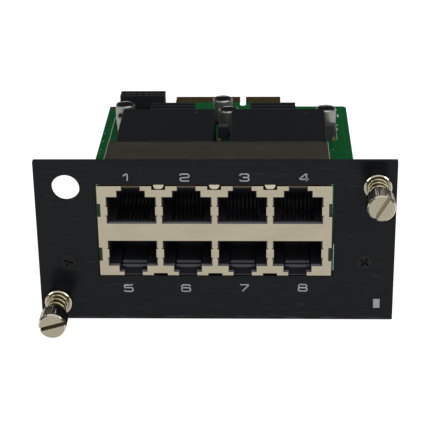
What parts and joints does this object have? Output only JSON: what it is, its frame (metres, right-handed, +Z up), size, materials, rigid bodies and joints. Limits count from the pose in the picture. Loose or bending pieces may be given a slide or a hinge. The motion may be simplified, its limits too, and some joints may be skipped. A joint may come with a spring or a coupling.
{
  "type": "switch line card",
  "caption": "Ethernet line card with a flat panel, a ganged modular jack block, a board with card-edge contacts and captive thumbscrews.",
  "frame": {"origin": "middle of the overall length and width, at the level of the panel's lower edge", "axes": "+X to the right along the panel, +Y back from the panel into the chassis, +Z up from the board"},
  "size_m": [0.0908, 0.1488, 0.0442],
  "materials": {
    "black_anodised": "black anodised aluminium, fine horizontal brushing",
    "solder_mask": "green solder mask over glass-epoxy laminate",
    "gold_plate": "thin hard gold over nickel",
    "housing_black": "black glass-filled nylon",
    "insert_black": "black moulded insert",
    "shield_nickel": "nickel-plated sheet",
    "contact_gold": "gold-plated phosphor bronze",
    "module_black": "black epoxy moulding",
    "tin_plate": "tin-plated leads",
    "chip_black": "black mould compound",
    "sink_black": "black anodised aluminium",
    "can_aluminium": "bare drawn aluminium",
    "base_black": "black moulded seat",
    "choke_black": "black ferrite",
    "ceramic_tan": "tan ceramic chips with tinned ends",
    "socket_black": "black moulded socket strip",
    "bracket_zinc": "zinc-plated steel",
    "screw_black": "black oxide steel",
    "screw_zinc": "zinc-plated steel",
    "thumb_nickel": "bright nickel plate",
    "spring_steel": "bright spring steel"
  },
  "bodies": {
    "card": {"board_screw_left": "screw_zinc", "board_screw_right": "screw_zinc", "bracket_left": "bracket_zinc", "bracket_right": "bracket_zinc", "capacitor_base_centre_front": "base_black", "capacitor_base_centre_rear": "base_black", "capacitor_base_left_front": "base_black", "capacitor_base_left_rear": "base_black", "capacitor_base_right": "base_black", "capacitor_can_centre_front": "can_aluminium", "capacitor_can_centre_rear": "can_aluminium", "capacitor_can_left_front": "can_aluminium", "capacitor_can_left_rear": "can_aluminium", "capacitor_can_right": "can_aluminium", "chip_capacitors": "ceramic_tan", "choke_centre": "choke_black", "choke_right": "choke_black", "circuit_board": "solder_mask", "contact_inserts": "insert_black", "edge_contacts_bottom": "gold_plate", "edge_contacts_top": "gold_plate", "ferrule_left": "thumb_nickel", "ferrule_right": "thumb_nickel", "front_panel": "black_anodised", "heat_sink_left": "sink_black", "heat_sink_right": "sink_black", "jack_housing": "housing_black", "jack_shield_front": "shield_nickel", "jack_shield_rear": "shield_nickel", "lower_contacts": "contact_gold", "magnetics_leads_left": "tin_plate", "magnetics_leads_right": "tin_plate", "magnetics_left": "module_black", "magnetics_right": "module_black", "panel_screw_left": "screw_black", "panel_screw_right": "screw_black", "phy_chip_left": "chip_black", "phy_chip_right": "chip_black", "rear_socket": "socket_black", "rear_socket_pins": "tin_plate", "spring_left": "spring_steel", "spring_right": "spring_steel", "upper_contacts": "contact_gold"},
    "stop_left": {"retaining_ring_left": "spring_steel"},
    "screw_left": {"thumbscrew_left": "thumb_nickel"},
    "stop_right": {"retaining_ring_right": "spring_steel"},
    "screw_right": {"thumbscrew_right": "thumb_nickel"}
  },
  "joints": [
    {"name": "thumb_slide_left", "type": "slide", "parent": "card", "child": "stop_left", "axis": [0, 1, 0], "range_m": [0, 0.0038], "stiffness_N_per_m": 600, "springref_m": -0.003, "deforming": ["spring_left"]},
    {"name": "thumb_turn_left", "type": "hinge", "parent": "stop_left", "child": "screw_left", "pos_m": [-0.0408, -0.0649, 0.0054], "axis": [0, 1, 0], "continuous": true},
    {"name": "thumb_slide_right", "type": "slide", "parent": "card", "child": "stop_right", "axis": [0, 1, 0], "range_m": [0, 0.0038], "stiffness_N_per_m": 600, "springref_m": -0.003, "deforming": ["spring_right"]},
    {"name": "thumb_turn_right", "type": "hinge", "parent": "stop_right", "child": "screw_right", "pos_m": [0.0405, -0.0649, 0.0378], "axis": [0, 1, 0], "continuous": true}
  ]
}
